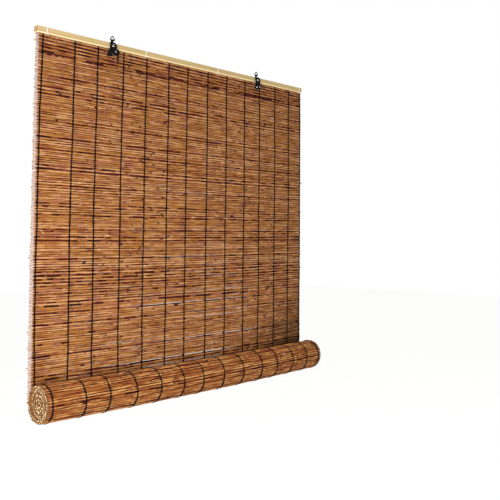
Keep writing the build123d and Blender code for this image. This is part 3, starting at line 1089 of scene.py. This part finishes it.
# ---------- the threads
@dataclass
class WarpThreads:
    """Pairs of black strands twined about the reeds, one pair at each place along the mat."""

    sizes: BlindFrame
    radius: float = 1.65 * MM
    half_width: float = 1.4 * MM
    sides: int = 6
    steps: int = 4  # rings from one reed to the next
    stand_off: float = 0.55  # share of its radius by which a strand stands off the reeds
    flatness: float = 1.6  # how long it stays on one side of the mat before it crosses
    above: float = 0.6  # reeds' widths that the hanging part starts above its first reed
    below: float = 0.5  # and ends below its last
    overlap: int = 3  # reeds that the rolled part goes on past a full turn
    settle: float = 6.0  # reeds over which it starts to wander
    wander: float = 0.6 * MM
    waves: Triple = (2.0, 5.0, 11.0)  # along a thread
    swings: Triple = (1.0, 0.6, 0.35)

    def twine(self, index: Array, line: Array, middle: Array, outward: Array) -> Shape:
        """Twine two strands about the reeds: each swings half a turn a reed, and lies flat where it's on top.

        Args:
            index: place in reeds, a whole number at a reed's middle.
            line: x of the pair.
            middle: the middle of the mat, (places, 3), of which x isn't used.
            outward: the direction that the mat faces.

        Returns:
            The pair.
        """
        over = (self.sizes.reed / 2 + self.radius * self.stand_off) / math.tanh(self.flatness)
        paths = []
        for phase in (0.0, math.pi):
            angle = math.pi * index + phase
            path = middle - outward * (over * np.tanh(self.flatness * np.cos(angle)))[:, None]
            path[:, 0] = line + self.half_width * np.sin(angle)
            paths.append(path)
        return strand_tubes(np.array(paths), self.radius, self.sides, ALONG)

    def wandering(self, count: int, rng: Random) -> Array:
        """Draw a slow sideways wander along a thread: a sum of three sines of random phase.

        Args:
            count: places along the thread.
            rng: random source.

        Returns:
            How far to the right it strays at each.
        """
        reach = np.linspace(0, 1, count)[:, None] * np.array(self.waves) * 2 * math.pi
        waves = np.sin(reach + rng.uniform(0, 2 * math.pi, len(self.waves))) * np.array(self.swings)
        return waves.sum(1) * self.wander

    def build(self, heights: Array, runs: Array, rng: Random) -> None:
        """Build every thread, the hanging part and the part round the roll.

        Args:
            heights: of the hanging reeds, from the top down.
            runs: of the rolled reeds, along the spiral.
            rng: random source.
        """
        sizes = self.sizes
        for node, x in zip(sizes.threads, sizes.thread_x):
            number = node[-2:]
            shape, foot = self.hanging(x, heights, rng)
            piece = make_piece(f"hanging_thread_{number}", shape, [COTTON], HEADRAIL)
            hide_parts(node)
            shorten(piece)
            shape = self.rolled(x, foot, len(heights), runs, rng)
            make_piece(f"rolled_thread_{number}", shape, [COTTON], ROLL)

    def hanging(self, x: float, heights: Array, rng: Random) -> tuple[Shape, float]:
        """Twine a pair about the hanging reeds.

        Args:
            x: the thread's place along the mat.
            heights: of the hanging reeds, from the top down.
            rng: random source.

        Returns:
            The pair, and the x of its lower end.
        """
        sizes = self.sizes
        last = len(heights) - 1
        index = np.linspace(-self.above, last + self.below, (last + 1) * self.steps)
        z = np.interp(index, np.arange(last + 1), heights)
        z += np.where(index < 0, -index, 0) * sizes.reed
        z -= np.where(index > last, index - last, 0) * sizes.reed
        line = x + sizes.lean(x, z) + self.wandering(len(index), rng)
        middle = np.column_stack([line, np.full(len(z), sizes.mat_middle), z - sizes.sag(x, sizes.depth(z))])
        return self.twine(index, line, middle, ACROSS), line[-1]

    def rolled(self, x: float, foot: float, before: int, runs: Array, rng: Random) -> Shape:
        """Twine the pair on about the outer reeds of the roll.

        Args:
            x: the thread's place along the mat.
            foot: the x of the hanging pair's lower end.
            before: how many reeds hang above the roll.
            runs: of the rolled reeds, along the spiral.
            rng: random source.

        Returns:
            The pair.
        """
        sizes = self.sizes
        outer = np.searchsorted(runs, 2 * math.pi * (sizes.roll_radius - sizes.reed / 2)) + self.overlap
        index = np.linspace(-self.below, outer, (outer + 1) * self.steps)
        run = np.interp(index, np.arange(len(runs)), runs)
        run = np.where(index < 0, runs[0] + index * sizes.reed, run)
        middle, outward = sizes.spiral(np.maximum(run, 0.0))
        middle[:, 2] -= sizes.sag(x, 1.0)
        line = foot + self.wandering(len(index), rng) * np.clip(index / self.settle, 0, 1)
        return self.twine(index + before, line, middle, outward)


# ---------- the nylon ties
@dataclass
class BattenTies:
    """Turns of nylon line that bind the battens and the reeds between them, knotted below the front one."""

    sizes: BlindFrame
    line: float = 0.45 * MM  # radius
    turns: int = 3
    sides: int = 6
    turn_step: float = 2.1  # from one turn to the next, in radii of the line
    turn_slip: float = 0.15 * MM
    slant: float = 0.3 * MM
    squareness: int = 12
    loop_points: int = 72
    knot: float = 1.5 * MM
    knot_points: int = 60
    knot_out: float = 0.6 * MM  # how far the knot stands off the batten's face, and above its lower edge
    knot_hint: Triple = (0.3, 1.0, 0.2)
    tail_points: int = 12
    tail_reach: Triple = (3.5 * MM, -2.0 * MM, -3.0 * MM)
    tail_droop: float = 3.0 * MM
    tail_taper: float = 0.8

    def loop(self, x: float, rng: Random) -> Array:
        """One turn of line round the battens: a superellipse, which is a box with rounded corners.

        Args:
            x: its place along the battens.
            rng: random source.

        Returns:
            A closed path.
        """
        sizes = self.sizes
        angle = np.linspace(0, 2 * math.pi, self.loop_points, endpoint=False)
        half_y = (sizes.rear_back - sizes.batten_face) / 2 + self.line
        half_z = (sizes.batten_high - sizes.batten_low) / 2 + self.line
        cosine, sine = np.cos(angle), np.sin(angle)
        power = self.squareness
        reach = (np.abs(cosine) ** power + np.abs(sine) ** power) ** (-1 / power)
        y = (sizes.rear_back + sizes.batten_face) / 2 + half_y * cosine * reach
        z = (sizes.batten_high + sizes.batten_low) / 2 + half_z * sine * reach
        return np.column_stack([x + rng.normal(0, self.turn_slip) + self.slant * sine, y, z])

    def knotted(self, x: float) -> Array:
        """Tie an overhand knot, a trefoil curve, at the front lower edge of the battens.

        Args:
            x: its place along the battens.

        Returns:
            A closed path.
        """
        sizes = self.sizes
        t = np.linspace(0, 2 * math.pi, self.knot_points, endpoint=False)
        around = [np.sin(t) + 2 * np.sin(2 * t), np.cos(t) - 2 * np.cos(2 * t), -np.sin(3 * t)]
        around = np.column_stack(around) * self.knot / 3
        centre = np.array([x, sizes.batten_face - self.line - self.knot_out, sizes.batten_low + self.knot_out])
        return centre + around[:, [0, 2, 1]]

    def tails(self, x: float) -> Array:
        """Hang the two cut ends down and apart from the knot.

        Args:
            x: the knot's place along the battens.

        Returns:
            Two open paths.
        """
        start = np.array([x, self.sizes.batten_face - 2 * self.line, self.sizes.batten_low])
        t = np.linspace(0, 1, self.tail_points)[:, None]
        droop = t**2 * np.array([0.0, 0.0, -self.tail_droop])
        return np.array([start + t * np.array(self.tail_reach) * [side, 1, 1] + droop for side in (-1, 1)])

    def build(self, rng: Random) -> None:
        """Build a tie at each of the CAD ties.

        Args:
            rng: random source.
        """
        sizes = self.sizes
        for node, x in zip(sizes.ties, sizes.tie_x):
            offsets = (np.arange(self.turns) - (self.turns - 1) / 2) * self.turn_step * self.line
            loops = np.array([self.loop(x + offset, rng) for offset in offsets])
            bands = strand_tubes(loops, self.line, self.sides, ALONG, closed=True)
            hint = np.array(self.knot_hint)
            knot = strand_tubes(self.knotted(x)[None], self.line, self.sides, hint, closed=True)
            ends = strand_tubes(self.tails(x), self.line * self.tail_taper, self.sides, ACROSS)
            piece = make_piece(f"nylon_{node}", join([bands, knot, ends]), [NYLON], HEADRAIL)
            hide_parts(node)


# ---------- the CAD pieces
class Dressing(Enum):
    """The finish of each material slot whose look doesn't hang on the blind's sizes."""

    STEEL = ("black_steel", LACQUER)
    ZINC_PLATE = ("zinc_steel", ZINC)
    NYLON_WHEEL = ("wheel_nylon", WHEEL)


def dress_cad_nodes(sizes: BlindFrame) -> None:
    """Give every CAD node that stays its finish.

    Args:
        sizes: of the blind.
    """
    whitewood = PlanedWhitewood(low_z=sizes.batten_low)
    finish_of = {kind.value[0]: kind.value[1] for kind in Dressing} | {"batten_wood": whitewood}
    for row in frame["record"]["subparts"]:
        node = frame["nodes"][row["node"]]
        finish = finish_of.get(row["material_slot"])
        if finish is not None and not node.hide_render:
            node.data.materials.clear()
            node.data.materials.append(finish.material())
            log.info("%s: %s", node.name, finish.name)


# ---------- the studio
@dataclass
class Studio:
    """A pale floor, a white surround, soft lamps and the camera."""

    sizes: BlindFrame
    floor_drop: float = 1.0  # below the roll
    floor_size: float = 30.0
    eye: Triple = (-1.3519, -1.5207, -0.5261)
    yaw: float = 46.32
    pitch: float = 3.813
    roll: float = 0.057
    lens: float = 50.58
    rise: float = -0.12
    ambient: float = 0.3
    sky_energy: float = 2.5
    sky_softness: float = 25.0
    key_energy: float = 40.5
    key_size: float = 1.0
    sky_place: Triple = (-0.9, -1.6, 5.2)
    key_place: Triple = (-1.3, -1.15, -0.72)
    lit_place: Triple = (-0.2, 0.0, -0.6)
    sensor: float = 36.0

    def build(self) -> None:
        """Set up everything that isn't part of the blind."""
        self.floor()
        self.lamps()
        self.camera()
        bpy.context.scene.view_settings.view_transform = "Standard"

    def floor(self) -> None:
        """A large flat square under the blind."""
        half = self.floor_size / 2
        z = CAD_BOX[0].z - self.floor_drop
        corners = np.array([[-half, -half, z], [half, -half, z], [half, half, z], [-half, half, z]])
        mesh = bpy.data.meshes.new("floor")
        mesh.from_pydata(corners.tolist(), [], [(0, 1, 2, 3)])
        paint = HardSurface("pale_floor", "#FBFBFA", "#F7F7F6", 0.0, 0.7, 0.9, 40.0, 0.0)
        mesh.materials.append(paint.material())
        piece = bpy.data.objects.new("floor", mesh)
        bpy.context.scene.collection.objects.link(piece)

    def lamps(self) -> None:
        """A surround that looks white but lights weakly, a soft high lamp and a near low one at the left."""
        world = bpy.data.worlds.new("surround")
        world.use_nodes = True
        tree = world.node_tree
        seen = add_node(tree, "ShaderNodeLightPath").outputs["Is Camera Ray"]
        background = tree.nodes["Background"]
        background.inputs["Color"].default_value = (1.0, 1.0, 1.0, 1.0)
        tree.links.new(remap(tree, seen, (0.0, 1.0), (self.ambient, 1.0)), background.inputs["Strength"])
        bpy.context.scene.world = world
        self.lamp("sky", "SUN", self.sky_energy, self.sky_place).angle = math.radians(self.sky_softness)
        self.lamp("key", "AREA", self.key_energy, self.key_place).size = self.key_size

    def lamp(self, name: str, kind: str, energy: float, place: Triple) -> bpy.types.Light:
        """Put a lamp at a place, turned to the middle of the blind and out of the camera's sight.

        Args:
            name: the lamp's name.
            kind: the lamp's type, such as SUN.
            energy: its strength.
            place: where it stands.

        Returns:
            The lamp, whose size is still to be set.
        """
        light = bpy.data.lights.new(name, kind)
        light.energy = energy
        lamp = bpy.data.objects.new(name, light)
        lamp.location = place
        lamp.rotation_euler = (Vector(self.lit_place) - Vector(place)).to_track_quat("-Z", "Y").to_euler()
        lamp.visible_camera = False
        bpy.context.scene.collection.objects.link(lamp)
        return light

    def camera(self) -> None:
        """The camera: turned by yaw from +Y towards +X, raised by pitch, and rolled about its own line."""
        turns = ((-self.yaw, "Z"), (90.0 + self.pitch, "X"), (self.roll, "Z"))
        yaw, pitch, roll = (Matrix.Rotation(math.radians(degrees), 4, axis) for degrees, axis in turns)
        lens = bpy.data.cameras.new("camera")
        lens.lens, lens.sensor_width, lens.shift_y = self.lens, self.sensor, self.rise
        piece = bpy.data.objects.new("camera", lens)
        piece.matrix_world = Matrix.Translation(self.eye) @ yaw @ pitch @ roll
        bpy.context.scene.collection.objects.link(piece)
        bpy.context.scene.camera = piece


def main() -> None:
    """Build the blind from its reeds outwards, dress it and light it."""
    logging.basicConfig(level=logging.INFO, format="%(name)s %(message)s")
    rng = np.random.default_rng(SEED)
    sizes = BlindFrame()
    heights = HangingMat(sizes).build(rng)
    runs = RolledMat(sizes).build(rng)
    WarpThreads(sizes).build(heights, runs, rng)
    BattenTies(sizes).build(rng)
    dress_cad_nodes(sizes)
    Studio(sizes).build()
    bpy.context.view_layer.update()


if __name__ == "__main__":
    main()
